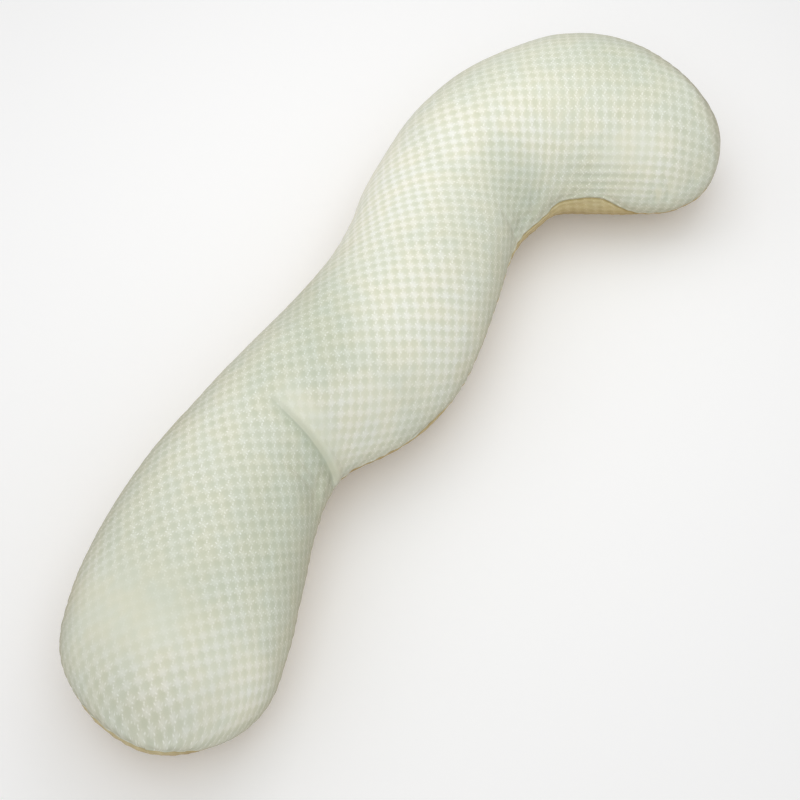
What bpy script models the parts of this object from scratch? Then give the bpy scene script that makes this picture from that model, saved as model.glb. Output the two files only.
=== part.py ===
"""A serpentine body pillow, lying face up on a flat surface.

Two panels of waffle knit are cut to one S-shaped outline, sewn together round the
side and filled. The pillow runs along X with its foot at -X and its head at +X,
stands on z = 0, and its origin is under the middle of its bounding box.
"""

import math

import bmesh
import bpy

MM = 0.001

# Driving sizes, in millimetres.
SEAM_HEIGHT = 74.0  # side seam above the surface that the pillow lies on
SAG = 1.10  # how far the underside would bulge past that surface, as a share of SEAM_HEIGHT
SEAM_PINCH = 2.5  # how far the stitching draws the sides in
SEAM_PINCH_REACH = 13.0  # how far from the seam the sides are drawn in
FULL_DEPTH_AT = 0.85  # share of the highest crown from which the underside has its full depth

STEPS_PER_ROW = 6  # sections between two rows of the table
STEPS_ACROSS = 24  # faces across each panel
CROWDING = 0.10  # how much closer together those faces are next to the seams

FRONT_COLOUR = (0.66, 0.69, 0.56)  # pale green
BACK_COLOUR = (0.66, 0.57, 0.33)  # warm beige

# The outline as cut: where each cross-section meets the seam on its left (+Y) and on
# its right (-Y), how high the front panel crowns above it there, and how many degrees the
# seam on the right has crept up the side, or down it.
SECTION_COLUMNS = ("left_x", "left_y", "right_x", "right_y", "crown", "creep")
SECTIONS = (
    (-484, -50, -484, -50, 0, 0),  # foot, the tip
    (-492, 22, -433, -101, 70, -27),
    (-468, 85, -374, -116, 102, -23),
    (-412, 124, -314, -98, 113, -16),
    (-327, 154, -253, -67, 115, -11),
    (-244, 169, -195, -36, 112, -11),
    (-159, 174, -142, -14, 106, -13),
    (-80, 176, -100, -11, 104, -14),  # notch between foot and belly
    (0, 174, -46, -34, 108, -11),
    (76, 179, 15, -47, 111, -9),
    (137, 193, 89, -39, 111, -8),
    (186, 212, 163, -15, 110, -6),
    (246, 226, 230, 12, 109, -2),
    (318, 238, 272, 22, 110, 0),  # inner side of the neck
    (396, 232, 309, 21, 112, -1),
    (462, 209, 345, 14, 113, 2),
    (523, 180, 375, -25, 112, 5),
    (566, 133, 406, -64, 108, -18),
    (585, 77, 441, -97, 98, -19),
    (584, 11, 496, -110, 70, -10),
    (563, -71, 563, -71, 0, 0),  # head, the tip
)

# Soft creases pressed into the front panel, each along a line in plan. They are deepest
# where they leave the seam and fade out along the line.
CREASE_COLUMNS = ("from_x", "from_y", "to_x", "to_y", "depth", "half_width")
CREASES = (
    (-126, -5, -128, 110, 7, 13),  # from the notch, straight across
    (275, 32, 305, 115, 5, 28),  # from the inner side of the neck
)


def rows(columns, table):
    """The rows of a table as dictionaries, by column name."""
    return [dict(zip(columns, row)) for row in table]


def spline(values, place):
    """A Catmull-Rom curve through evenly spaced values, read at a fractional place."""
    last = len(values) - 2  # one value beyond each end steers the curve
    index = min(int(place), last - 2)
    part = place - index
    a, b, c, d = values[index : index + 4]
    return 0.5 * (
        2 * b
        + (c - a) * part
        + (2 * a - 5 * b + 4 * c - d) * part**2
        + (3 * b - 3 * c + d - a) * part**3
    )


def through_tips(side, other, sign=1):
    """One side's values, led on round both tips by the other side's."""
    return [sign * other[1], *side, sign * other[-2]]


def outline_splines(sections):
    """What spline() reads: x and y for each side, the crown, and the right seam's creep."""
    column = {name: [row[name] for row in sections] for name in SECTION_COLUMNS}
    left = [through_tips(column["left_" + axis], column["right_" + axis]) for axis in "xy"]
    right = [through_tips(column["right_" + axis], column["left_" + axis]) for axis in "xy"]
    crown = through_tips(column["crown"], column["crown"], sign=-1)
    creep = through_tips(column["creep"], column["creep"], sign=-1)
    return left, right, crown, creep


def seam_point(side, place):
    """Where a section meets one side's seam in plan."""
    return [spline(values, place) for values in side]


def outward(side, place, end, turn):
    """The unit vector in plan that points out of the outline at a seam point.

    turn is 1 where the body lies to the right of the run from foot to head, and -1 where
    it lies to the left.
    """
    step = 0.01  # of a row, to either side
    x0, y0 = seam_point(side, max(place - step, 0))
    x1, y1 = seam_point(side, min(place + step, end))
    length = math.hypot(x1 - x0, y1 - y0)
    return -turn * (y1 - y0) / length, turn * (x1 - x0) / length


def crease_press(x, y, creases):
    """How deep the creases press the front panel at a point in plan."""
    press = 0
    for crease in creases:
        run_x = crease["to_x"] - crease["from_x"]
        run_y = crease["to_y"] - crease["from_y"]
        off_x = x - crease["from_x"]
        off_y = y - crease["from_y"]
        share = (off_x * run_x + off_y * run_y) / (run_x**2 + run_y**2)
        share = min(max(share, 0), 1)
        away = math.hypot(off_x - share * run_x, off_y - share * run_y)
        press += crease["depth"] * (1 - share) * math.exp(-((away / crease["half_width"]) ** 2))
    return press


def section_point(left, right, crown, underside, angle):
    """A point of the filled section: angle 0 is its right side, pi its left, 2 pi right again."""
    share = (1 - math.cos(angle)) / 2
    swell = math.sin(angle)
    x = right[0] + (left[0] - right[0]) * share
    y = right[1] + (left[1] - right[1]) * share
    return x, y, swell * (crown if swell > 0 else underside)


def pinched(point, seams):
    """The point after the stitching of the nearest seam has drawn the side in towards it."""
    away, direction = min((math.dist(point, seam), out) for seam, out in seams)
    pull = SEAM_PINCH * math.exp(-((away / SEAM_PINCH_REACH) ** 2))
    x, y, rise = point
    return x - pull * direction[0], y - pull * direction[1], rise


def ring_angles(creep):
    """Angles round a section, closer together next to the two seams."""
    angles = []
    for face in range(2 * STEPS_ACROSS):
        share = (face % STEPS_ACROSS) / STEPS_ACROSS
        eased = share - CROWDING * math.sin(2 * math.pi * share)
        if face < STEPS_ACROSS:
            angles.append(creep + (math.pi - creep) * eased)
        else:
            angles.append(math.pi + (math.pi + creep) * eased)
    return angles


def section_ring(place, end, splines, creases):
    """The points of one closed cross-section, in millimetres."""
    left_side, right_side, crown_values, creep_values = splines
    left = seam_point(left_side, place)
    right = seam_point(right_side, place)
    left_out = outward(left_side, place, end, turn=1)
    right_out = outward(right_side, place, end, turn=-1)
    crown = spline(crown_values, place)
    creep = math.radians(spline(creep_values, place))
    fullness = min(crown / (FULL_DEPTH_AT * max(crown_values)), 1)
    underside = SEAM_HEIGHT * SAG * fullness
    seams = (
        (section_point(left, right, crown, underside, math.pi), left_out),
        (section_point(left, right, crown, underside, creep), right_out),
    )
    ring = []
    for angle in ring_angles(creep):
        point = section_point(left, right, crown, underside, angle)
        x, y, rise = pinched(point, seams)
        if rise > 0:
            rise -= crease_press(x, y, creases) * rise / crown
        ring.append((x, y, max(SEAM_HEIGHT + rise, 0)))
    return ring


def panel_material(name, colour):
    material = bpy.data.materials.new(name)
    material.use_nodes = True
    shader = material.node_tree.nodes["Principled BSDF"]
    shader.inputs["Base Color"].default_value = (*colour, 1)
    shader.inputs["Roughness"].default_value = 0.9
    shader.inputs["Metallic"].default_value = 0
    return material


def pillow_mesh():
    """The filled pillow as one closed mesh: rings along the length and a point at each tip."""
    sections = rows(SECTION_COLUMNS, SECTIONS)
    creases = rows(CREASE_COLUMNS, CREASES)
    splines = outline_splines(sections)
    end = len(sections) - 1
    places = [step / STEPS_PER_ROW for step in range(end * STEPS_PER_ROW + 1)]
    rings = [section_ring(place, end, splines, creases) for place in places]
    rings[0] = rings[0][:1]
    rings[-1] = rings[-1][:1]

    xs = [x for ring in rings for x, y, z in ring]
    ys = [y for ring in rings for x, y, z in ring]
    middle_x = (min(xs) + max(xs)) / 2
    middle_y = (min(ys) + max(ys)) / 2

    shape = bmesh.new()
    made = [
        [shape.verts.new(((x - middle_x) * MM, (y - middle_y) * MM, z * MM)) for x, y, z in ring]
        for ring in rings
    ]
    around = 2 * STEPS_ACROSS
    for near, far in zip(made, made[1:]):
        for step in range(around):
            after = (step + 1) % around
            if len(near) == 1:
                corners = (near[0], far[step], far[after])
            elif len(far) == 1:
                corners = (near[after], near[step], far[0])
            else:
                corners = (near[after], near[step], far[step], far[after])
            face = shape.faces.new(corners)
            face.material_index = 0 if step < STEPS_ACROSS else 1
            face.smooth = True
    bmesh.ops.recalc_face_normals(shape, faces=shape.faces)
    bmesh.ops.triangulate(shape, faces=shape.faces)
    mesh = bpy.data.meshes.new("pillow")
    shape.to_mesh(mesh)
    shape.free()
    return mesh


def build_pillow():
    mesh = pillow_mesh()
    mesh.materials.append(panel_material("front knit", FRONT_COLOUR))
    mesh.materials.append(panel_material("back knit", BACK_COLOUR))
    pillow = bpy.data.objects.new("pillow", mesh)
    bpy.context.scene.collection.objects.link(pillow)
    return pillow


def clear_scene():
    for thing in list(bpy.data.objects):
        bpy.data.objects.remove(thing, do_unlink=True)


clear_scene()
build_pillow()
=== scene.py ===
import math

import bmesh
import bpy
import numpy as np
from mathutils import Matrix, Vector, noise


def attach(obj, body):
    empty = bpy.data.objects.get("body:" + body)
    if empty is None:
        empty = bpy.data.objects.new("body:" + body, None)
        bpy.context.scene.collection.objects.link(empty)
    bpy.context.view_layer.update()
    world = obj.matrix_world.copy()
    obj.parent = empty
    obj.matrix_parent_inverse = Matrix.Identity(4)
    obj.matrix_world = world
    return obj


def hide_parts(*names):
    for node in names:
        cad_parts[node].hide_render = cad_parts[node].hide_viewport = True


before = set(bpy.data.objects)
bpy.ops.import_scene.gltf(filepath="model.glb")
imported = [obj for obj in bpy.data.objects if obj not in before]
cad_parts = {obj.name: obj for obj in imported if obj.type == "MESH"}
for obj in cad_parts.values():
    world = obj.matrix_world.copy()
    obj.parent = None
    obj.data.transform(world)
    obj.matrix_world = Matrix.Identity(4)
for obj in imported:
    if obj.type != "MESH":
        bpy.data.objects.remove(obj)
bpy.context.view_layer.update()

mm = 0.001
toMm = 1000


# helpers for node trees
def feed(tree, socket, value):
    if isinstance(value, bpy.types.NodeSocket):
        tree.links.new(value, socket)
    else:
        socket.default_value = value


def addNode(tree, kind, inputs=None, **settings):
    node = tree.nodes.new(kind)
    for name, value in settings.items():
        setattr(node, name, value)
    for name, value in (inputs or {}).items():
        feed(tree, node.inputs[name], value)
    return node


def calc(tree, operation, *values, clamp=False):
    node = tree.nodes.new("ShaderNodeMath")
    node.operation = operation
    node.use_clamp = clamp
    for socket, value in zip(node.inputs, values):
        feed(tree, socket, value)
    return node.outputs[0]


def product(tree, first, *others):
    for other in others:
        first = calc(tree, "MULTIPLY", first, other)
    return first


def vectorCalc(tree, operation, first, second):
    socket = "Scale" if operation == "SCALE" else 1
    node = addNode(tree, "ShaderNodeVectorMath", {0: first, socket: second}, operation=operation)
    return node.outputs["Vector"]


def cosine(tree, turns):
    return calc(tree, "COSINE", calc(tree, "MULTIPLY", turns, 2 * math.pi))


def smoothRange(tree, value, low, high, toLow=0.0, toHigh=1.0):
    node = addNode(tree, "ShaderNodeMapRange", interpolation_type="SMOOTHSTEP")
    names = ("Value", "From Min", "From Max", "To Min", "To Max")
    for name, given in zip(names, (value, low, high, toLow, toHigh)):
        feed(tree, node.inputs[name], given)
    return node.outputs["Result"]


def mixed(tree, factor, first, second, blend="MIX"):
    node = addNode(tree, "ShaderNodeMix", data_type="RGBA", blend_type=blend)
    for name, value in (("Factor", factor), ("A", first), ("B", second)):
        socket = next(one for one in node.inputs if one.name == name and one.enabled)
        feed(tree, socket, (*value, 1) if isinstance(value, tuple) else value)
    return next(one for one in node.outputs if one.enabled)


# helpers for tables and meshes
def tableRows(columns, table):
    return [dict(zip(columns, row)) for row in table]


def giveFloats(mesh, name, values, domain="POINT"):
    layer = mesh.attributes.get(name) or mesh.attributes.new(name, "FLOAT", domain)
    layer.data.foreach_set("value", np.asarray(values, np.float32))


def takeFloats(mesh, name):
    values = np.zeros(len(mesh.vertices), np.float32)
    mesh.attributes[name].data.foreach_get("value", values)
    return values.astype(float)


def takePoints(mesh):
    values = np.zeros(len(mesh.vertices) * 3, np.float32)
    mesh.vertices.foreach_get("co", values)
    return values.reshape(-1, 3).astype(float)


def takeNormals(mesh):
    values = np.zeros(len(mesh.vertices) * 3, np.float32)
    mesh.vertex_normals.foreach_get("vector", values)
    return values.reshape(-1, 3).astype(float)


def setPoints(mesh, points):
    mesh.vertices.foreach_set("co", np.asarray(points, np.float32).ravel())
    mesh.update()


def easeIn(value):
    value = np.clip(value, 0, 1)
    return value * value * (3 - 2 * value)


def freeze(piece):
    # keeps the piece as its modifiers leave it, as a plain mesh
    graph = bpy.context.evaluated_depsgraph_get()
    shown = piece.evaluated_get(graph)
    mesh = bpy.data.meshes.new_from_object(shown, preserve_all_data_layers=True, depsgraph=graph)
    piece.modifiers.clear()
    old = piece.data
    piece.data = mesh
    mesh.name = old.name
    bpy.data.meshes.remove(old)


shot = {
    "place": (-0.726, -0.599, 1.631),
    "aim": (-0.052, -0.0645, 0.09),
    "lens": 69.2,  # mm
    "sensor": 36,  # mm
}


def makeCamera(shot):
    camera = bpy.data.objects.new("shotCamera", bpy.data.cameras.new("shotCamera"))
    bpy.context.scene.collection.objects.link(camera)
    camera.data.lens = shot["lens"]
    camera.data.sensor_width = shot["sensor"]
    camera.location = shot["place"]
    look = Vector(shot["aim"]) - Vector(shot["place"])
    camera.rotation_euler = look.to_track_quat("-Z", "Y").to_euler()
    bpy.context.scene.camera = camera


makeCamera(shot)
print("camera set")


# the filled body: a loft through cross-sections, from foot to head
pillow = {
    "seamHeight": 74.0,  # mm, as are the other lengths here
    "sag": 1.10,  # depth of the underside before the floor flattens it, in seam heights
    "pinch": 2.5,  # how far the stitching draws the sides in
    "pinchReach": 13.0,
    "fullDepthAt": 0.85,  # share of the highest crown at which the underside is at its deepest
    "rings": 240,
    "frontFaces": 66,
    "backFaces": 34,
    "crowding": 0.10,  # how much closer the faces lie next to the seams
    "lookAhead": 0.01,  # share of a section over which the seam's direction is read
    "unbent": 0.22,  # share of the bends that the cut panels don't have
    "seamTightness": 0.7,  # how tight the seam stays when the cover is smoothed
    "grain": -43.5,  # degrees from +X to the way the rows of the knit run
    # where the knit is drawn out, below 0, or bunched up; places and reaches in mm
    "stretchColumns": ("way", "place", "reach", "share"),
    "stretches": (
        ("along", 115, 60, -0.15),
        ("along", -340, 70, -0.11),
        ("across", 125, 55, 0.20),
        ("across", 240, 40, -0.14),
        ("across", -110, 60, -0.08),
    ),
    # where each section meets the seam on its left and right, in plan, its crown above the
    # seam, and the degrees by which the right seam has crept up the side
    "columns": ("leftX", "leftY", "rightX", "rightY", "crown", "creep"),
    "sections": (
        (-484, -50, -484, -50, 0, 0),  # tip of the foot
        (-492, 22, -433, -101, 70, -27),
        (-468, 85, -374, -116, 102, -23),
        (-412, 124, -314, -98, 113, -16),
        (-327, 154, -253, -67, 115, -11),
        (-244, 169, -195, -36, 112, -11),
        (-159, 174, -142, -14, 106, -13),
        (-80, 176, -100, -11, 104, -14),  # notch between foot and belly
        (0, 174, -46, -34, 108, -11),
        (76, 179, 15, -47, 111, -9),
        (137, 193, 89, -39, 111, -8),
        (186, 212, 163, -15, 110, -6),
        (246, 226, 230, 12, 109, -2),
        (318, 238, 272, 22, 110, 0),  # inner side of the neck
        (396, 232, 309, 21, 112, -1),
        (462, 209, 345, 14, 113, 2),
        (523, 180, 375, -25, 112, 5),
        (566, 133, 406, -64, 108, -18),
        (585, 77, 441, -97, 98, -19),
        (584, 11, 496, -110, 70, -10),
        (563, -71, 563, -71, 0, 0),  # tip of the head
    ),
}


def readSpline(values, places):
    # Catmull-Rom through evenly spaced values, with one value beyond each end
    values = np.array(values, float)
    index = np.clip(places.astype(int), 0, len(values) - 4)
    part = places - index
    a, b, c, d = (values[index + step] for step in range(4))
    bend = (2 * a - 5 * b + 4 * c - d) * part**2
    return 0.5 * (2 * b + (c - a) * part + bend + (3 * b - 3 * c + d - a) * part**3)


def roundTips(side, other, sign=1):
    # each side runs on round both tips into the other one
    return [sign * other[1], *side, sign * other[-2]]


def ringAngles(creep, shape):
    # 0 at the right seam, pi at the left one, the front between them and then the back
    front = np.arange(shape["frontFaces"]) / shape["frontFaces"]
    back = np.arange(shape["backFaces"]) / shape["backFaces"]
    easedFront = front - shape["crowding"] * np.sin(2 * math.pi * front)
    easedBack = back - shape["crowding"] * np.sin(2 * math.pi * back)
    creep = creep[:, None]
    return np.hstack([creep + (math.pi - creep) * easedFront, math.pi + (math.pi + creep) * easedBack])


def loftPoints(shape):
    # every ring's points in metres, as an array of rings by points by 3
    rows = tableRows(shape["columns"], shape["sections"])
    column = {name: [row[name] for row in rows] for name in shape["columns"]}
    end = len(rows) - 1
    places = np.linspace(0, end, shape["rings"] + 1)

    def side(name, other, at):
        ways = [roundTips(column[name + axis], column[other + axis]) for axis in "XY"]
        return np.stack([readSpline(values, at) for values in ways], -1)

    seams = []
    for name, other, turn in (("right", "left", -1), ("left", "right", 1)):
        ahead = side(name, other, np.minimum(places + shape["lookAhead"], end))
        behind = side(name, other, np.maximum(places - shape["lookAhead"], 0))
        step = ahead - behind
        step /= np.linalg.norm(step, axis=1, keepdims=True)
        seams.append((side(name, other, places), turn * np.stack([-step[:, 1], step[:, 0]], -1)))
    (right, rightOut), (left, leftOut) = seams
    crown = np.maximum(readSpline(roundTips(column["crown"], column["crown"], -1), places), 0)
    creep = np.radians(readSpline(roundTips(column["creep"], column["creep"], -1), places))
    fullness = np.minimum(crown / (shape["fullDepthAt"] * max(column["crown"])), 1)
    under = shape["seamHeight"] * shape["sag"] * fullness

    def place(angles):
        share = ((1 - np.cos(angles)) / 2)[..., None]
        swell = np.sin(angles)
        plan = right[:, None] + (left - right)[:, None] * share
        rise = swell * np.where(swell > 0, crown[:, None], under[:, None])
        return np.concatenate([plan, rise[..., None]], -1)

    points = place(ringAngles(creep, shape))
    rightSeam = place(creep[:, None])
    leftSeam = place(np.full((len(places), 1), math.pi))
    toRight = np.linalg.norm(points - rightSeam, axis=2)
    toLeft = np.linalg.norm(points - leftSeam, axis=2)
    pull = shape["pinch"] * np.exp(-((np.minimum(toRight, toLeft) / shape["pinchReach"]) ** 2))
    out = np.where((toRight < toLeft)[..., None], rightOut[:, None], leftOut[:, None])
    points[..., :2] -= pull[..., None] * out
    points[..., 2] = np.maximum(points[..., 2] + shape["seamHeight"], 0)
    flat = points[..., :2].reshape(-1, 2)
    points[..., :2] -= (flat.min(0) + flat.max(0)) / 2
    return points * mm


def inOrder(travelled, points):
    # the back is read from left to right, so it is turned round for interpolation
    if travelled[len(travelled) // 2, 0] > travelled[len(travelled) // 2, -1]:
        return travelled[:, ::-1], points[:, ::-1]
    return travelled, points


def panelMiddle(across, travelled, points):
    # the line in plan that runs along the middle of a panel
    travelled, points = inOrder(travelled, points)
    return np.array([
        [np.interp(length / 2, row, ring[:, axis]) for axis in (0, 1)]
        for length, row, ring in zip(across, travelled, points)
    ])


def unbentLine(middle, turn):
    # the same line as it lies in the cut panel, with every hop of it turned
    hop = np.diff(middle, axis=0)
    mean = (turn[1:] + turn[:-1]) / 2
    hopX = hop[:, 0] * np.cos(mean) - hop[:, 1] * np.sin(mean)
    hopY = hop[:, 0] * np.sin(mean) + hop[:, 1] * np.cos(mean)
    line = np.concatenate([middle[:1], middle[:1] + np.cumsum(np.stack([hopX, hopY], -1), 0)])
    line += middle.mean(0) - line.mean(0)
    return line


def stretched(laid, shape):
    grain = math.radians(shape["grain"])
    turn = np.array([[math.cos(grain), math.sin(grain)], [-math.sin(grain), math.cos(grain)]])
    turned = laid @ turn.T
    for row in tableRows(shape["stretchColumns"], shape["stretches"]):
        axis = ("along", "across").index(row["way"])
        reach = row["reach"] * mm
        turned[..., axis] += row["share"] * reach * np.tanh((turned[..., axis] - row["place"] * mm) / reach)
    return turned @ turn


def layFlat(points, shape):
    # where each point lies in the cut panels, in metres: the front's, and the back's
    split = shape["frontFaces"]
    hops = np.linalg.norm(np.roll(points, -1, 1) - points, axis=2)
    travel = np.concatenate([np.zeros((len(points), 1)), np.cumsum(hops, 1)], 1)
    acrossFront = travel[:, split, None]
    acrossBack = travel[:, -1:] - acrossFront
    over = points[:, split, :2] - points[:, 0, :2]
    over[[0, -1]] = over[[1, -2]]
    heading = np.unwrap(np.arctan2(over[:, 1], over[:, 0]))
    turn = -shape["unbent"] * (heading - np.median(heading))
    way = np.stack([np.cos(heading + turn), np.sin(heading + turn)], -1)
    wrapped = np.concatenate([points, points[:, :1]], 1)
    panels = (
        (acrossFront, travel, slice(0, split + 1)),
        (acrossBack, acrossFront + acrossBack - travel, slice(split, None)),
    )
    laid = []
    for across, travelled, steps in panels:
        middle = panelMiddle(across[:, 0], travelled[:, steps], wrapped[:, steps])
        line = unbentLine(middle, turn)
        laid.append(stretched(line[:, None] + way[:, None] * (travelled - across / 2)[..., None], shape))
    return travel, laid


def alongSeam(line):
    return np.concatenate([[0], np.cumsum(np.linalg.norm(np.diff(line, axis=0), axis=1))])


def loftBody(shape):
    points = loftPoints(shape)
    split = shape["frontFaces"]
    around = split + shape["backFaces"]
    travel, laid = layFlat(points, shape)
    body = bmesh.new()
    awayLayer = body.verts.layers.float.new("seamAway")
    runLayer = body.verts.layers.float.new("seamRun")
    frontLayer = body.verts.layers.float.new("front")
    clothLayer = body.loops.layers.uv.new("cloth")
    rightRun, leftRun = (alongSeam(points[:, step]) for step in (0, split))
    rings = []
    for index, ring in enumerate(points):
        isTip = index in (0, len(points) - 1)
        made = []
        for step in range(1 if isTip else around):
            gone = travel[index, step]
            toRight, toLeft, toEnd = gone, abs(travel[index, split] - gone), travel[index, -1] - gone
            away = min(toRight, toLeft, toEnd)
            vert = body.verts.new(ring[step])
            vert[awayLayer] = away
            vert[frontLayer] = 1.0 if step <= split else 0.0
            vert[runLayer] = -leftRun[index] if toLeft == away else rightRun[index]  # the left counts down
            made.append(vert)
        rings.append(made)
    for index, (near, far) in enumerate(zip(rings, rings[1:])):
        for step in range(around):
            after = (step + 1) % around
            corners = [  # a ring's points, its number, and a corner's place in the cut panel and in the ring
                (near, index, step + 1, after),
                (near, index, step, step),
                (far, index + 1, step, step),
                (far, index + 1, step + 1, after),
            ]
            if len(near) == 1:
                corners = corners[1:]
            if len(far) == 1:
                corners = corners[:3]
            face = body.faces.new([ring[at % len(ring)] for ring, _, _, at in corners])
            face.material_index = 0 if step < split else 1
            face.smooth = True
            for loop, (_, row, place, _) in zip(face.loops, corners):
                loop[clothLayer].uv = laid[face.material_index][row, place]
    for edge in body.edges:
        edge.seam = len({face.material_index for face in edge.link_faces}) == 2
    bmesh.ops.recalc_face_normals(body, faces=body.faces)
    mesh = bpy.data.meshes.new("pillowCover")
    body.to_mesh(mesh)
    body.free()
    piece = bpy.data.objects.new("pillowCover", mesh)
    bpy.context.scene.collection.objects.link(piece)
    return piece


cover = loftBody(pillow)
print("cover lofted:", len(cover.data.polygons), "faces")


# the filling pushes the cover out: a short cloth simulation, held close to the loft
swell = {
    "pressure": 4.0,
    "frames": 20,
    "knit": {
        "quality": 6,
        "mass": 0.15,
        "tension_stiffness": 20,
        "compression_stiffness": 20,
        "shear_stiffness": 6,
        "bending_stiffness": 0.35,
        "air_damping": 3,
    },
    "startInside": 1.5,  # mm that the cover starts inside the loft
    "furthest": 6.0,  # mm that a point may move from the loft
    "keptSwell": 0.15,  # share of the broad swelling that stays; the creases all stay
    "broadness": 60,  # rounds of averaging that part the broad swelling from the creases
    "looseCloth": 0.02,  # how much larger than the loft the cloth is cut
    "looserCloth": 0.16,  # and how much where it bunches up inside a bend
    "looseAtSeam": 0.35,  # share of the way from the one to the other along the seam
    "looseReach": 20.0,  # mm from the seam
    "floorReach": 12.0,  # mm above the floor over which the underside keeps its place
    "bunchColumns": ("x", "y", "z", "reach", "amount"),
    "bunches": (
        (335, -80, 120, 62, 1.0),  # inner wall of the head
        (235, -22, 95, 50, 0.9),  # inner corner of the neck
        (175, -44, 110, 45, 0.8),
        (-165, -45, 120, 60, 0.9),  # notch between foot and belly
        (40, 92, 140, 45, 0.6),  # behind the belly
    ),
}


def looseShare(points, away, how):
    share = how["looseAtSeam"] * np.exp(-((away / (how["looseReach"] * mm)) ** 2))
    for spot in tableRows(how["bunchColumns"], how["bunches"]):
        centre = np.array([spot["x"], spot["y"], spot["z"]]) * mm
        far = np.linalg.norm(points - centre, axis=1) / (spot["reach"] * mm)
        share = np.maximum(share, spot["amount"] * np.exp(-(far**2)))
    return share


def averaged(values, pairs, rounds):
    # each point's value, shared out with its neighbours over and over
    count = np.bincount(pairs.ravel(), minlength=len(values))[:, None] + 1
    for _ in range(rounds):
        total = values.copy()
        for axis in range(values.shape[1]):
            total[:, axis] += np.bincount(pairs[:, 0], values[pairs[:, 1], axis], len(values))
            total[:, axis] += np.bincount(pairs[:, 1], values[pairs[:, 0], axis], len(values))
        values = total / count
    return values


def runCloth(piece, how):
    # the points of the cover once the filling has pushed it out
    cloth = piece.modifiers.new("filling", "CLOTH")
    for name, value in how["knit"].items():
        setattr(cloth.settings, name, value)
    cloth.settings.vertex_group_shrink = "loose"
    cloth.settings.shrink_min = -how["looseCloth"]
    cloth.settings.shrink_max = -how["looserCloth"]
    cloth.settings.use_pressure = True
    cloth.settings.uniform_pressure_force = how["pressure"]
    cloth.settings.effector_weights.gravity = 0
    cloth.collision_settings.use_collision = False
    cloth.point_cache.frame_start = 1
    cloth.point_cache.frame_end = how["frames"]
    for step in range(1, how["frames"] + 1):
        bpy.context.scene.frame_set(step)
    swollen = takePoints(piece.evaluated_get(bpy.context.evaluated_depsgraph_get()).to_mesh())
    piece.to_mesh_clear()
    piece.modifiers.clear()
    piece.vertex_groups.clear()
    bpy.context.scene.frame_set(1)
    return swollen


def fillCover(piece, how):
    mesh = piece.data
    start = takePoints(mesh)
    normals = takeNormals(mesh)
    loose = piece.vertex_groups.new(name="loose")
    for index, share in enumerate(looseShare(start, takeFloats(mesh, "seamAway"), how)):
        loose.add([index], float(share), "REPLACE")
    setPoints(mesh, start - normals * how["startInside"] * mm)
    moved = runCloth(piece, how) - start
    pairs = np.zeros(len(mesh.edges) * 2, np.int32)
    mesh.edges.foreach_get("vertices", pairs)
    broad = averaged(moved, pairs.reshape(-1, 2), how["broadness"])
    moved = (moved - broad) + broad * how["keptSwell"]
    far = np.linalg.norm(moved, axis=1)
    limit = how["furthest"] * mm
    held = limit * np.tanh(far / limit) / np.maximum(far, 1e-9)
    rise = easeIn(start[:, 2] / (how["floorReach"] * mm))
    ended = start + moved * (held * rise)[:, None]
    ended[:, 2] = np.maximum(ended[:, 2], 0)
    setPoints(mesh, ended)
    print("cover filled: moved", np.round(np.percentile(far, (50, 90, 99)) * toMm, 2), "mm")


def smoothOnce(piece, seamTightness):
    # one subdivision, the seam kept tighter than the rest
    mesh = piece.data
    crease = mesh.attributes.new("crease_edge", "FLOAT", "EDGE")
    seam = np.zeros(len(mesh.edges), bool)
    mesh.edges.foreach_get("use_seam", seam)
    crease.data.foreach_set("value", (seam * seamTightness).astype(np.float32))
    finer = piece.modifiers.new("finer", "SUBSURF")
    finer.levels = finer.render_levels = 1
    freeze(piece)


fillCover(cover, swell)
smoothOnce(cover, pillow["seamTightness"])
print("cover smoothed:", len(cover.data.polygons), "faces")


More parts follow.
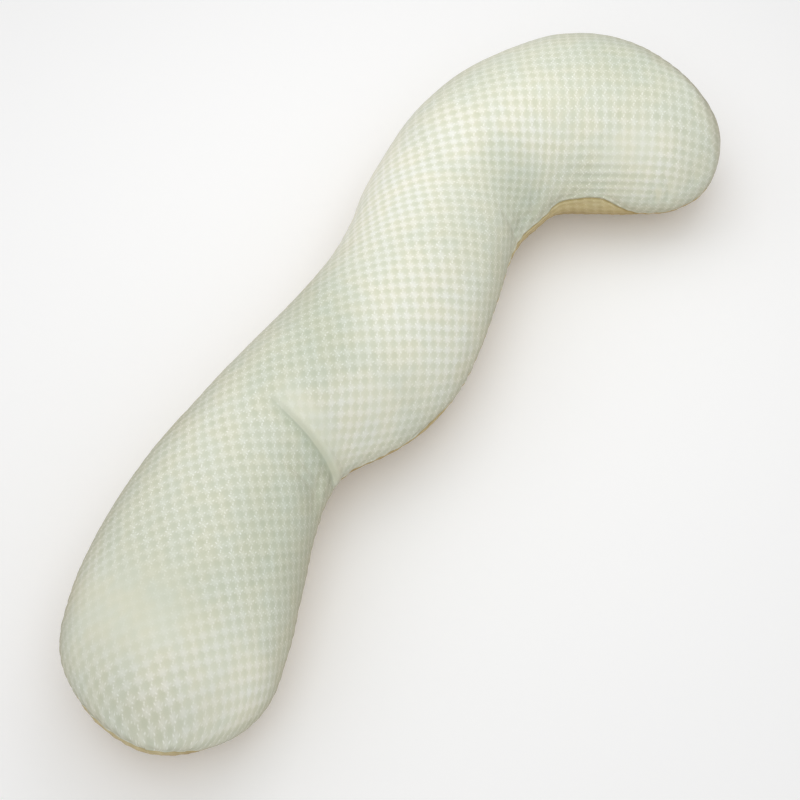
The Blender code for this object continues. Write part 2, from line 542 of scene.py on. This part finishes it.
# creases, wrinkles and puckers, placed in mm; each runs through three points on the
# surface; depth is pressed in along the normals, and less than 0 is raised; left and right are
# how far it reaches to both sides, a lip stands up beside it on its right, and shade darkens
# its floor: sharply on the right, fading out to the left
creases = {
    "columns": (
        "start", "middle", "end", "depth", "left", "right", "lip", "lipAt", "fadeStart", "fadeEnd", "shade",
    ),
    "lines": (
        # the fold from the notch, the hollow on its foot side with two wrinkles, and a soft one beyond it
        ((-174, -80, 62), (-176, -26, 163), (-174, 36, 178), 4.4, 17, 2.2, 1.3, 7, 0.10, 0.45, 1.0),
        ((-198, -74, 92), (-212, -28, 160), (-212, 26, 178), 4.5, 26, 20, 0, 10, 0.1, 0.8, 0),
        ((-196, -70, 104), (-202, -42, 146), (-206, -12, 168), 1.2, 3.5, 3.5, 0, 10, 0.3, 0.4, 0),
        ((-207, -76, 100), (-215, -50, 144), (-222, -22, 168), 1.0, 3.5, 3.5, 0, 10, 0.3, 0.4, 0),
        ((-150, -52, 104), (-140, -8, 150), (-132, 30, 168), 1.3, 9, 12, 0, 10, 0.1, 0.8, 0),
        # the inner side of the neck
        ((233, -27, 72), (228, 16, 165), (256, 62, 182), 6.5, 34, 20, 0, 10, 0.1, 0.8, 0),
        ((262, -28, 92), (280, -8, 148), (300, 40, 176), 1.8, 12, 12, 0, 10, 0.2, 0.8, 0),
        # puckers by the head seam
        ((368, -134, 76), (374, -130, 95), (379, -118, 116), 1.8, 5.0, 4.0, 0.8, 7, 0.2, 0.5, 0.5),
        ((382, -144, 78), (386, -138, 100), (391, -124, 120), 1.6, 4.5, 4.0, 0.6, 7, 0.2, 0.5, 0.45),
        ((412, -150, 84), (420, -145, 102), (424, -134, 122), 1.4, 4.5, 4.0, 0.6, 7, 0.2, 0.5, 0.3),
        # pleats at the neck's inner corner
        ((214, -30, 84), (206, -14, 128), (204, 4, 158), 1.6, 5.0, 5.0, 0.5, 8, 0.1, 0.7, 0),
        ((252, -30, 90), (258, -20, 126), (268, -6, 152), 1.6, 5.0, 5.0, 0.5, 8, 0.1, 0.7, 0),
        # the kink behind the belly
        ((29, 89, 152), (46, 92, 152), (66, 92, 150), 1.4, 8, 8, 0, 10, 0.5, 0.5, 0),
    ),
    "lipWidth": 0.6,  # as a share of lipAt
    "shadeReach": 24.0,  # mm from a crease that its shade may reach
    "shadeFade": 8.0,  # and over how many of these it fades out
    "lumps": ((62, 0.9), (27, 0.35)),  # mm across, and how far they stand out and sink in
    "floorReach": 20.0,  # mm above the floor over which the lumps come in
}


def smoothLine(start, middle, end, count=40):
    # a curve through three points
    t = np.linspace(0, 1, count)[:, None]
    start, middle, end = (np.array(point, float) * mm for point in (start, middle, end))
    lead = 2 * middle - (start + end) / 2
    return (1 - t) ** 2 * start + 2 * t * (1 - t) * lead + t**2 * end


def nearLine(points, line):
    # for each point: how far along the line its nearest place lies, and that place
    best = np.full(len(points), np.inf)
    along = np.zeros(len(points))
    foot = np.zeros_like(points)
    for index in range(len(line) - 1):
        run = line[index + 1] - line[index]
        share = np.clip((points - line[index]) @ run / (run @ run), 0, 1)
        place = line[index] + share[:, None] * run
        far = np.linalg.norm(points - place, axis=1)
        closer = far < best
        best[closer] = far[closer]
        along[closer] = (index + share[closer]) / (len(line) - 1)
        foot[closer] = place[closer]
    return along, foot


def lumpy(points, size):
    # one soft value for each point, from -1 to 1
    scaled = points / (size * mm)
    return np.array([noise.noise(Vector(point)) for point in scaled])


def pressCreases(piece, how):
    mesh = piece.data
    points = takePoints(mesh)
    normals = takeNormals(mesh)
    push = np.zeros(len(points))
    foldShade = np.zeros(len(points))
    gap = np.full(len(points), how["shadeReach"])
    for line in tableRows(how["columns"], how["lines"]):
        path = smoothLine(line["start"], line["middle"], line["end"])
        way = path[-1] - path[0]
        reach = 4 * max(line["left"], line["right"]) * mm + np.linalg.norm(way)
        near = np.nonzero(np.linalg.norm(points - path[len(path) // 2], axis=1) < reach)[0]
        along, foot = nearLine(points[near], path)
        off = points[near] - foot
        off -= np.einsum("ij,ij->i", off, normals[near])[:, None] * normals[near]
        away = np.linalg.norm(off, axis=1)
        side = np.einsum("ij,ij->i", np.cross(normals[near], way), off)
        taper = easeIn(along / line["fadeStart"]) * easeIn((1 - along) / line["fadeEnd"])
        width = np.where(side > 0, line["left"], line["right"]) * mm
        dip = np.exp(-((away / width) ** 2)) * line["depth"]
        past = (away - line["lipAt"] * mm) / (how["lipWidth"] * line["lipAt"] * mm)
        lip = np.exp(-(past**2)) * line["lip"] * (side <= 0)
        push[near] += (lip - dip) * taper
        # the painted shadow on a shaded crease's floor: its share, and the signed distance to that crease
        closer = (line["shade"] > 0) & (away / mm < np.abs(gap[near]))
        shade = line["shade"] * taper * easeIn((how["shadeReach"] - away / mm) / how["shadeFade"])
        gap[near[closer]] = (np.sign(side) * away / mm)[closer]
        foldShade[near[closer]] = shade[closer]
    giveFloats(mesh, "foldShade", foldShade)
    giveFloats(mesh, "foldGap", gap)
    print("creases pressed:", len(how["lines"]), "deepest", round(push.min(), 2), "mm")
    floor = easeIn(points[:, 2] / (how["floorReach"] * mm))
    for size, height in how["lumps"]:
        push += height * lumpy(points, size) * floor
    setPoints(mesh, points + normals * push[:, None] * mm)


pressCreases(cover, creases)


# the seam: a stitched groove with small gathers beside it
seam = {
    "groove": 1.0,  # mm, as are the other lengths here
    "grooveReach": 2.2,
    "lipRise": 0.7,  # the cloth stands up a little on both sides of the groove
    "lipAt": 4.0,
    "lipWidth": 2.5,
    "gather": 0.9,
    "gatherFrom": 3.0,  # how far from the seam the gathers are at their highest
    "gatherReach": 22.0,
    "gatherPitch": 17.0,
    "driftScale": 0.02,  # of the noise that makes the gathers uneven, in 1/mm
    "driftSeed": 3.1,
    "driftTurn": 4.0,  # how far it shifts them, in radians
    "driftHeight": (0.55, 0.9),  # their usual height, and what the noise adds to it or takes away
    "floorReach": 12.0,
}


def sewSeam(piece, how):
    mesh = piece.data
    points = takePoints(mesh)
    away = takeFloats(mesh, "seamAway") * toMm
    run = takeFloats(mesh, "seamRun") * toMm
    groove = -how["groove"] * np.exp(-((away / how["grooveReach"]) ** 2))
    lip = how["lipRise"] * np.exp(-(((away - how["lipAt"]) / how["lipWidth"]) ** 2))
    places = [Vector((value * how["driftScale"], how["driftSeed"], 0)) for value in np.round(run)]
    drift = np.array([noise.noise(place) for place in places])
    usual, change = how["driftHeight"]
    turns = 2 * math.pi * run / how["gatherPitch"]
    wave = np.sin(turns + how["driftTurn"] * drift) * (usual + change * drift)
    fade = np.exp(-away / how["gatherReach"]) * easeIn(away / how["gatherFrom"])
    gather = how["gather"] * wave * fade
    floor = easeIn(points[:, 2] * toMm / how["floorReach"])
    setPoints(mesh, points + takeNormals(mesh) * ((groove + lip + gather) * floor * mm)[:, None])
    print("seam sewn")


sewSeam(cover, seam)


# soft spots in mm, in plan: where the knit is drawn flat, where its columns or its rows close up
# into ribs, where it is lighter, thin over the filling and with painted light, and where it is
# darker, slack in a hollow and with painted shade
softSpots = {
    "columns": ("x", "y", "longReach", "shortReach", "turn", "amount"),
    "flattened": (
        (-450, -32, 84, 58, -60, 0.84),  # top of the foot
        (-440, -140, 70, 40, 25, 0.4),
        (-88, -66, 70, 26, -15, 0.35),  # lower side of the belly
        (372, -84, 42, 20, -45, 0.5),  # inner wall of the head
        (-158, -28, 44, 15, 90, 0.7),  # the smooth lip of the fold
    ),
    "ribbed": (
        (356, 2, 52, 36, -40, 0.9),
        (415, 8, 55, 40, -45, 0.55),
        (285, -30, 44, 30, -20, 0.6),
        (150, -52, 70, 18, 40, 0.8),
        (-240, -92, 60, 22, 40, 0.8),
    ),
    "ridged": (
        (335, -86, 58, 30, -50, 1.0),  # inner wall of the head
    ),
    "thinAndLit": (
        (130, 92, 120, 75, 15, 1.0),  # from the kink behind the belly to the head
        (300, 30, 95, 60, -30, 0.85),
        (20, -30, 100, 80, 60, 0.8),
        (-120, -58, 60, 36, -20, 0.95),
        (368, -100, 55, 40, -45, 1.0),
        (-440, -125, 75, 48, 25, 0.85),
        (-475, -25, 75, 45, 70, 0.6),
        (-250, 50, 80, 45, 25, 0.35),
        (-159, -34, 40, 18, 85, 1.0),
        (235, 80, 60, 50, 20, 1.0),
        (345, -20, 60, 40, -40, 0.6),
        (-435, -165, 50, 35, 20, 1.0),
        (-470, -95, 60, 42, 60, 0.8),
        (-452, 42, 50, 36, 60, 0.6),
    ),
    "slackAndShaded": (
        (-205, -62, 62, 34, 35, 1.0),
        (-280, -82, 95, 40, 28, 0.85),
        (-142, 42, 45, 32, 0, 0.5),
        (-388, -92, 50, 36, 35, 0.55),
        (246, -10, 58, 36, 75, 1.0),
        (-345, -108, 60, 34, 35, 0.5),
        (-68, 34, 75, 42, 35, 0.9),
        (462, -5, 60, 45, 90, 0.6),
    ),
    "lit": (  # the side that faces the brighter half of the room, where the painted shade gives way to a painted warm rim light
        (170, 150, 210, 120, 8, 1.0),
        (400, 120, 130, 110, 0, 0.75),
        (-90, 150, 150, 90, 5, 0.55),
        (-330, 120, 120, 80, 20, 0.2),
        (-118, -74, 45, 30, 0, 0.6),
        (392, -108, 50, 32, -45, 0.5),
    ),
    "deepShade": (  # the ends, where the painted shade on the sides is darker still
        (500, -105, 120, 75, -50, 0.85),
        (-505, 0, 110, 50, 75, 0.3),
        (-520, -75, 60, 45, -60, 0.7),
    ),
    "bright": (-0.38, -0.30, 0.87),  # the way to the brighter half of the room
    "steep": 0.65,  # how far a normal leans that way where the cloth starts to count as a side
    # the least share of a side given to places turned away, for the painted shade, the rim light and the ribs
    "farSide": 0.35,
    "sideRibs": 0.85,
    "sideRibsAt": 0.7,  # how much of a side it is where these ribs are complete
    "sideFade": 0.6,
    "seamHeight": pillow["seamHeight"],
    "seamFade": 25.0,  # mm above the seam over which the spots come in, and below it the back's shade
    "foldFlat": (2.0, 13.0),  # mm that the fold's edge stays flat on its left and on its right
    "reliefFrom": 1.5,  # mm from the seam where the waffle's relief starts
    "reliefRise": 8.0,  # and over how many more it comes in
    "floorReach": 6.0,
}


def spotField(points, columns, table):
    total = np.zeros(len(points))
    for row in tableRows(columns, table):
        turn = math.radians(row["turn"])
        x = points[:, 0] * toMm - row["x"]
        y = points[:, 1] * toMm - row["y"]
        long = (x * math.cos(turn) + y * math.sin(turn)) / row["longReach"]
        short = (y * math.cos(turn) - x * math.sin(turn)) / row["shortReach"]
        total = np.maximum(total, row["amount"] * np.exp(-((long**2 + short**2) ** 1.5)))
    return total


def markSpots(piece, spots):
    mesh = piece.data
    points = takePoints(mesh)
    height = points[:, 2] * toMm
    facing = takeNormals(mesh) @ np.array(spots["bright"])
    isFront = takeFloats(mesh, "front") > 0.75
    onRight = takeFloats(mesh, "seamRun") > 0
    top = easeIn((height - spots["seamHeight"]) / spots["seamFade"])
    # painted shade on the back below the seam, darker towards the floor
    under = np.clip((spots["seamHeight"] - height) / spots["seamFade"], 0, 1) * ~isFront
    lit, deepShade = (spotField(points, spots["columns"], spots[name]) for name in ("lit", "deepShade"))
    # how far a place is a side turned from the brighter half of the room; the painted shade follows it
    side = np.clip(1 - np.abs(facing) / spots["steep"], 0, 1)
    side = np.where(facing < 0, np.maximum(side, spots["farSide"]), side)
    strip = easeIn(side / spots["sideRibsAt"]) * spots["sideRibs"] * isFront
    gap = takeFloats(mesh, "foldGap")
    foldFlat = np.where(gap > 0, *spots["foldFlat"])
    fields = {
        name: spotField(points, spots["columns"], spots[name]) * top
        for name in ("flattened", "ribbed", "ridged", "thinAndLit", "slackAndShaded")
    }
    fields["ribbed"] = np.maximum(fields["ribbed"], strip * onRight)
    fields["ridged"] = np.maximum(fields["ridged"], strip * ~onRight)
    fields["flattened"] = np.maximum(fields["flattened"], side * lit * spots["sideFade"])
    onFold = np.exp(-((gap / foldFlat) ** 2)) * takeFloats(mesh, "foldShade")
    fields["flattened"] = np.maximum(fields["flattened"], onFold)
    # a painted warm rim light on the front's sides that face the brighter half of the room
    fields["rimLightTint"] = side * lit * isFront
    # painted shade down the sides turned from the brighter half of the room, deeper at the ends, and below
    # the seam
    fields["sideShade"] = np.maximum(np.clip(side * (1 - lit) * (1 + deepShade), 0, 1), under)
    away = takeFloats(mesh, "seamAway") * toMm
    fromSeam = easeIn((away - spots["reliefFrom"]) / spots["reliefRise"])
    fields["relief"] = fromSeam * easeIn(height / spots["floorReach"])
    for name, field in fields.items():
        giveFloats(mesh, name, field)
    print("soft spots marked:", ", ".join(fields))


markSpots(cover, softSpots)


# the waffle: cells of the knit, in relief and in colour
waffle = {
    "cellWidth": 11.6,  # mm along a row
    "cellHeight": 12.4,  # mm from row to row
    "grain": pillow["grain"],
    "depth": 0.75,  # mm from the net to the floor of a cell
    "ridgeGain": 1.4,  # how much deeper it is where the rows close up
}


def cellField(tree, cloth, turn, width, height):
    # from the cloth's own coordinates to columns and rows of cells
    turned = addNode(tree, "ShaderNodeVectorRotate", {"Vector": cloth, "Angle": turn}, rotation_type="Z_AXIS")
    parts = addNode(tree, "ShaderNodeSeparateXYZ", {0: turned.outputs[0]}).outputs
    return calc(tree, "DIVIDE", parts["X"], width), calc(tree, "DIVIDE", parts["Y"], height)


def waffleTree(values, front, back):
    tree = bpy.data.node_groups.new("waffleRelief", "GeometryNodeTree")
    face = tree.interface
    face.new_socket("Cover", in_out="INPUT", socket_type="NodeSocketGeometry")
    for name, value in values.items():
        face.new_socket(name, in_out="INPUT", socket_type="NodeSocketFloat").default_value = value
    face.new_socket("Cover", in_out="OUTPUT", socket_type="NodeSocketGeometry")
    given = addNode(tree, "NodeGroupInput").outputs

    def marked(name, kind="FLOAT"):
        node = addNode(tree, "GeometryNodeInputNamedAttribute", {"Name": name}, data_type=kind)
        return node.outputs["Attribute"]

    cloth = marked("cloth", "FLOAT_VECTOR")
    column, row = cellField(tree, cloth, given["Grain Turn"], given["Cell Width"], given["Cell Height"])
    ribs = calc(tree, "SUBTRACT", marked("ribbed"), marked("ridged"))
    shareY = calc(tree, "MULTIPLY", calc(tree, "SUBTRACT", 1.0, ribs), 0.25)
    shareX = calc(tree, "SUBTRACT", 0.5, shareY)
    waveX = calc(tree, "MULTIPLY", cosine(tree, column), shareX)
    waveY = calc(tree, "MULTIPLY", cosine(tree, row), shareY)
    waves = calc(tree, "ADD", waveX, waveY)
    keep = calc(tree, "SUBTRACT", 1.0, marked("flattened"))
    gain = calc(tree, "MULTIPLY_ADD", marked("ridged"), given["Ridge Gain"], 1.0)
    strength = product(tree, marked("relief"), keep, gain)
    depth = product(tree, waves, strength, calc(tree, "MULTIPLY", given["Depth"], -1.0))
    normal = addNode(tree, "GeometryNodeInputNormal").outputs["Normal"]
    offset = vectorCalc(tree, "SCALE", normal, depth)
    done = addNode(tree, "GeometryNodeSetPosition", {"Geometry": given["Cover"], "Offset": offset})
    done = addNode(tree, "GeometryNodeRealizeInstances", {"Geometry": done.outputs["Geometry"]})
    isBack = calc(tree, "GREATER_THAN", marked("panel"), 0.5)
    for look, chosen in ((front, True), (back, isBack)):
        inputs = {"Geometry": done.outputs["Geometry"], "Selection": chosen, "Material": look}
        done = addNode(tree, "GeometryNodeSetMaterial", inputs)
    addNode(tree, "NodeGroupOutput", {"Cover": done.outputs["Geometry"]})
    return tree


def pressWaffle(piece, sizes, front, back):
    mesh = piece.data
    panel = np.zeros(len(mesh.polygons), np.int32)
    mesh.polygons.foreach_get("material_index", panel)
    giveFloats(mesh, "panel", panel, "FACE")
    values = {
        "Cell Width": sizes["cellWidth"] * mm,
        "Cell Height": sizes["cellHeight"] * mm,
        "Depth": sizes["depth"] * mm,
        "Grain Turn": -math.radians(sizes["grain"]),
        "Ridge Gain": sizes["ridgeGain"],
    }
    relief = piece.modifiers.new("waffle", "NODES")
    relief.node_group = waffleTree(values, front, back)
    for item in relief.node_group.interface.items_tree:
        if item.in_out == "INPUT" and item.name in values:
            relief[item.identifier] = values[item.name]
    freeze(piece)
    print("waffle pressed; materials", [slot.name for slot in piece.data.materials])


frontLook = {
    "net": (0.70, 0.72, 0.59),
    # the cells' floors: the knit's own darker tone, with painted shade in the dimples
    "cell": (0.625, 0.655, 0.518),
    "stroke": (0.975, 0.99, 0.915),
    "lace": (0.81, 0.81, 0.80),  # the net where it is drawn thin
    "warm": (1.01, 1.0, 0.975),  # the tints that the dye drifts between
    "cool": (0.985, 1.0, 1.01),
    # lighter where the knit is thin over the filling, and painted light there
    "thinAndLit": (1.145, 1.122, 1.13),  # from here on, what the colour is multiplied by
    # darker where the knit is slack in a hollow, and painted shade there
    "slackAndShaded": (0.86, 0.885, 0.87),
    "sideShade": (0.60, 0.545, 0.465),  # painted shade down the sides
    # a painted warm rim light on the lit sides
    "rimLightTint": (1.025, 0.98, 1.025),
    # painted shadow on the floor of the fold
    "foldShade": (0.83, 0.86, 0.83),
    # painted highlight along the fold's lip
    "lip": (1.06, 1.055, 1.05),
    "seam": (0.78, 0.74, 0.62),
    "contrast": 1.0,
}
untinted = (1.0, 1.0, 1.0)
backLook = {
    "net": (0.655, 0.565, 0.315),
    "cell": (0.56, 0.47, 0.245),
    "stroke": (0.82, 0.75, 0.52),
    "lace": (0.655, 0.565, 0.315),
    "warm": (1.01, 1.0, 0.98),
    "cool": (0.99, 1.0, 1.02),
    "thinAndLit": untinted,
    "slackAndShaded": untinted,
    # painted shade down the sides and on the underside below the seam
    "sideShade": (0.66, 0.56, 0.42),
    "rimLightTint": untinted,
    "foldShade": untinted,
    "lip": untinted,
    "seam": (0.75, 0.70, 0.60),
    "contrast": 0.6,
}

# the knit of both panels; a range runs from where a thing starts to where it is complete, on a
# wave that is 1 in the middle of a cell and -1 at a crossing of the net
knit = {
    # scale in 1/m, detail, and a shift that sets the noise apart from the others
    "noises": {
        "sway": (22.0, 1.0, 0.0),
        "jitter": (260.0, 1.0, 0.0),
        "ragged": (330.0, 1.0, 5.3),
        "patchy": (45.0, 2.0, 0.0),
        "broken": (420.0, 0.0, 3.7),
        "drift": (30.0, 2.0, 8.1),
        "yarn": (900.0, 2.0, 0.0),
    },
    "swayBy": 0.004,  # m that the rows and columns wander
    "jitterBy": 0.0016,  # m that their edges tremble
    "raggedBy": 0.8,
    "ribsClose": 0.6,  # how far the cells run into one another along a rib
    "shadowLean": (0.7, 0.5),  # painted shade: how much darker a cell's floor is towards one corner, as a shadow in the dimple
    "cellRange": (-0.35, 0.90),
    "cellStrength": (0.70, 1.05),  # of the weakest and of the strongest cell
    "patchRange": (0.3, 0.7, 0.6, 1.0),
    "ridgedCells": 0.35,  # how much stronger the cells are where the rows close up
    "glowRange": (-0.15, -0.95),
    "glow": 0.20,
    "laceRange": (0.35, -0.70),
    "lace": 0.4,
    "markStrength": (0.65, 1.00),
    "brokenRange": (0.3, 0.6, 0.4, 1.0),
    "thinMarks": 0.35,  # how much weaker the stitches are where the knit is thin
    "foldShadeRanges": ((-0.7, 0.5), (18.0, 0.5)),  # where the fold's painted shadow lies: mm to the left of the fold, less than 0 to its right
    # where the painted highlight on the fold's lip lies
    "lipRanges": ((-0.2, -1.2), (-14.0, -3.0)),
    "driftRange": (0.35, 0.65),
    "seamRange": (0.0024, 0.0008),  # m from the seam
    "cellSinks": 0.5,  # shares of the bump's distance
    "markRises": 0.5,
    "yarnRises": 0.3,
    "bump": {"Strength": 0.7, "Distance": 0.0005},
    "shader": {
        "Roughness": 0.85,
        "Sheen Weight": 0.15,
        "Sheen Roughness": 0.5,
        "Specular IOR Level": 0.2,
    },
}

# short light stitches round each crossing of the net, in cells from it
strokes = {
    "columns": ("x", "y", "turn", "halfLength", "halfWidth", "strength"),
    "marks": (
        (-0.20, 0.21, -54, 0.13, 0.075, 1.0),
        (-0.02, 0.00, -50, 0.12, 0.070, 0.75),
        (0.14, -0.20, -58, 0.13, 0.075, 0.95),
        (0.37, 0.03, 30, 0.13, 0.075, 0.85),
        (-0.40, -0.10, 34, 0.09, 0.070, 0.75),
        (-0.03, 0.42, 92, 0.10, 0.080, 0.95),
        (0.02, -0.44, 84, 0.08, 0.080, 0.9),
        (-0.18, -0.26, 58, 0.08, 0.065, 0.5),
        (0.20, 0.28, 40, 0.09, 0.065, 0.5),
    ),
}


def strokeMask(tree, x, y, stroke):
    turn = math.radians(stroke["turn"])
    offX = calc(tree, "SUBTRACT", x, stroke["x"])
    offY = calc(tree, "SUBTRACT", y, stroke["y"])
    along = calc(tree, "MULTIPLY_ADD", offX, math.cos(turn), calc(tree, "MULTIPLY", offY, math.sin(turn)))
    over = calc(tree, "MULTIPLY_ADD", offY, math.cos(turn), calc(tree, "MULTIPLY", offX, -math.sin(turn)))

    def within(distance, half, power):
        share = calc(tree, "DIVIDE", calc(tree, "ABSOLUTE", distance), half)
        return calc(tree, "SUBTRACT", 1.0, calc(tree, "POWER", share, power), clamp=True)

    inLength = within(along, stroke["halfLength"], 3.0)
    inWidth = within(over, stroke["halfWidth"], 2.0)
    return product(tree, inLength, inWidth, stroke["strength"])


def knitFinish(name, look, sizes, how):
    finish = bpy.data.materials.new(name)
    finish.use_nodes = True
    tree = finish.node_tree
    shader = tree.nodes["Principled BSDF"]
    cloth = addNode(tree, "ShaderNodeUVMap", uv_map="cloth").outputs["UV"]

    def cloudy(which):
        scale, detail, shift = how["noises"][which]
        inputs = {"Vector": vectorCalc(tree, "ADD", cloth, (shift, 0, 0)), "Scale": scale, "Detail": detail}
        return addNode(tree, "ShaderNodeTexNoise", inputs).outputs

    def wandered(start, which, reach):
        middle = vectorCalc(tree, "SUBTRACT", cloudy(which)["Color"], (0.5, 0.5, 0.5))
        return vectorCalc(tree, "ADD", start, vectorCalc(tree, "SCALE", middle, reach))

    def marked(which):
        return addNode(tree, "ShaderNodeAttribute", attribute_name=which).outputs["Fac"]

    swayed = wandered(cloth, "sway", how["swayBy"])
    swayed = wandered(swayed, "jitter", how["jitterBy"])
    turn = -math.radians(sizes["grain"])
    column, row = cellField(tree, swayed, turn, sizes["cellWidth"] * mm, sizes["cellHeight"] * mm)

    def fromCentre(value, shift):
        return calc(tree, "SUBTRACT", calc(tree, "FRACT", calc(tree, "ADD", value, shift)), 0.5)

    def chance(shift, seed, least, most):
        # a different number for each cell, or for each crossing
        places = [calc(tree, "FLOOR", calc(tree, "ADD", value, shift)) for value in (column, row)]
        place = addNode(tree, "ShaderNodeCombineXYZ", {"X": places[0], "Y": places[1], "Z": seed})
        drawn = addNode(tree, "ShaderNodeTexWhiteNoise", {"Vector": place.outputs[0]}).outputs["Value"]
        return calc(tree, "MULTIPLY_ADD", drawn, most - least, least)

    ribbed, ridged, thinAndLit = marked("ribbed"), marked("ridged"), marked("thinAndLit")
    keep = calc(tree, "SUBTRACT", 1.0, marked("flattened"))
    closeX = calc(tree, "MULTIPLY_ADD", ridged, -how["ribsClose"], 1.0)
    closeY = calc(tree, "MULTIPLY_ADD", ribbed, -how["ribsClose"], 1.0)
    x = calc(tree, "MULTIPLY", fromCentre(column, 0.5), closeX)
    y = calc(tree, "MULTIPLY", fromCentre(row, 0.5), closeY)
    wave = calc(tree, "MULTIPLY", calc(tree, "ADD", cosine(tree, x), cosine(tree, y)), 0.5)
    ragged = calc(tree, "SUBTRACT", cloudy("ragged")["Fac"], 0.5)
    wave = calc(tree, "MULTIPLY_ADD", ragged, how["raggedBy"], wave)
    shadowLeanX, shadowLeanY = how["shadowLean"]
    # the cells' darker floors: the knit's own tone and painted shade in the dimples, with a painted shadow
    # towards one corner
    cell = product(
        tree,
        smoothRange(tree, wave, *how["cellRange"]),
        calc(tree, "MULTIPLY_ADD", x, shadowLeanX, calc(tree, "MULTIPLY_ADD", y, shadowLeanY, 1.0)),
        chance(0.5, 2.0, *how["cellStrength"]),
        keep,
        look["contrast"],
        smoothRange(tree, cloudy("patchy")["Fac"], *how["patchRange"]),
        calc(tree, "MULTIPLY_ADD", ridged, how["ridgedCells"], 1.0),
    )
    glow = product(tree, smoothRange(tree, wave, *how["glowRange"]), how["glow"], keep)
    lace = product(tree, smoothRange(tree, wave, *how["laceRange"]), product(tree, thinAndLit, how["lace"]), keep)

    marks = 0.0
    fromX, fromY = fromCentre(column, 0.0), fromCentre(row, 0.0)
    for stroke in tableRows(strokes["columns"], strokes["marks"]):
        marks = calc(tree, "MAXIMUM", marks, strokeMask(tree, fromX, fromY, stroke))
    marks = product(
        tree,
        marks,
        smoothRange(tree, cloudy("broken")["Fac"], *how["brokenRange"]),
        chance(0.0, 3.0, *how["markStrength"]),
        keep,
        look["contrast"],
        calc(tree, "MULTIPLY_ADD", thinAndLit, -how["thinMarks"], 1.0),
    )

    colour = mixed(tree, cell, look["net"], look["cell"])
    colour = mixed(tree, lace, colour, look["lace"])
    colour = mixed(tree, calc(tree, "MAXIMUM", marks, glow), colour, look["stroke"])
    # multiplied in: thin and slack places with painted light and shade, painted shade down the sides, a
    # painted warm rim light and the fold's painted shadow
    tints = {which: marked(which) for which in ("thinAndLit", "slackAndShaded", "sideShade", "rimLightTint", "foldShade")}
    gap = marked("foldGap")
    # the fold's painted shadow on its floor and the painted highlight on its lip, each kept to its side of
    # the fold
    for which in ("lip", "foldShade"):
        first, last = (smoothRange(tree, gap, *span) for span in how[which + "Ranges"])
        tints[which] = product(tree, tints["foldShade"], product(tree, first, last))
    for which, share in tints.items():
        colour = mixed(tree, share, colour, look[which], "MULTIPLY")
    drift = smoothRange(tree, cloudy("drift")["Fac"], *how["driftRange"])
    colour = mixed(tree, 1.0, colour, mixed(tree, drift, look["warm"], look["cool"]), "MULTIPLY")
    nearSeam = smoothRange(tree, marked("seamAway"), *how["seamRange"])
    colour = mixed(tree, nearSeam, colour, look["seam"], "MULTIPLY")
    feed(tree, shader.inputs["Base Color"], colour)
    for socket, value in how["shader"].items():
        shader.inputs[socket].default_value = value

    height = calc(tree, "MULTIPLY_ADD", cell, -how["cellSinks"], product(tree, marks, how["markRises"]))
    height = calc(tree, "MULTIPLY_ADD", cloudy("yarn")["Fac"], how["yarnRises"], height)
    bump = addNode(tree, "ShaderNodeBump", {"Height": height, **how["bump"]})
    feed(tree, shader.inputs["Normal"], bump.outputs["Normal"])
    return finish


frontKnit = knitFinish("frontKnit", frontLook, waffle, knit)
backKnit = knitFinish("backKnit", backLook, waffle, knit)
pressWaffle(cover, waffle, frontKnit, backKnit)

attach(cover, "root")
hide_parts("pillow")


# a pale floor and soft studio light: an even room, and three soft lights overhead
studio = {
    "room": 0.64,
    "floorSize": 12,  # m
    "floorDrop": 0.0005,  # m below the pillow
    "floorColour": (0.92, 0.92, 0.92),
    "floorRoughness": 0.9,
    "floorGlow": 0.10,
    "lightsAim": (0, 0, 0.1),
    "lights": (
        {"name": "headLight", "place": (0.42, 0.10, 0.95), "size": 0.8, "power": 2.4},
        {"name": "sideLight", "place": (-0.15, 0.70, 1.20), "size": 1.0, "power": 1.5},
        {"name": "footLight", "place": (-0.55, -0.35, 1.40), "size": 1.0, "power": 2.4},
    ),
}


def makeFloor(studio):
    bpy.ops.mesh.primitive_plane_add(size=studio["floorSize"], location=(0, 0, -studio["floorDrop"]))
    floor = bpy.context.object
    floor.name = "paleFloor"
    finish = bpy.data.materials.new("paleFloor")
    finish.use_nodes = True
    shader = finish.node_tree.nodes["Principled BSDF"]
    shader.inputs["Base Color"].default_value = (*studio["floorColour"], 1)
    shader.inputs["Roughness"].default_value = studio["floorRoughness"]
    shader.inputs["Emission Color"].default_value = (1, 1, 1, 1)
    shader.inputs["Emission Strength"].default_value = studio["floorGlow"]
    floor.data.materials.append(finish)


def lightRoom(studio):
    world = bpy.data.worlds.new("softRoom")
    world.use_nodes = True
    world.node_tree.nodes["Background"].inputs["Color"].default_value = (1, 1, 1, 1)
    world.node_tree.nodes["Background"].inputs["Strength"].default_value = studio["room"]
    bpy.context.scene.world = world
    for row in studio["lights"]:
        light = bpy.data.objects.new(row["name"], bpy.data.lights.new(row["name"], "AREA"))
        bpy.context.scene.collection.objects.link(light)
        light.data.energy = row["power"]
        light.data.size = row["size"]
        light.location = row["place"]
        look = Vector(studio["lightsAim"]) - light.location
        light.rotation_euler = look.to_track_quat("-Z", "Y").to_euler()
    bpy.context.scene.view_settings.view_transform = "Standard"


makeFloor(studio)
lightRoom(studio)
print("floor and lights set")
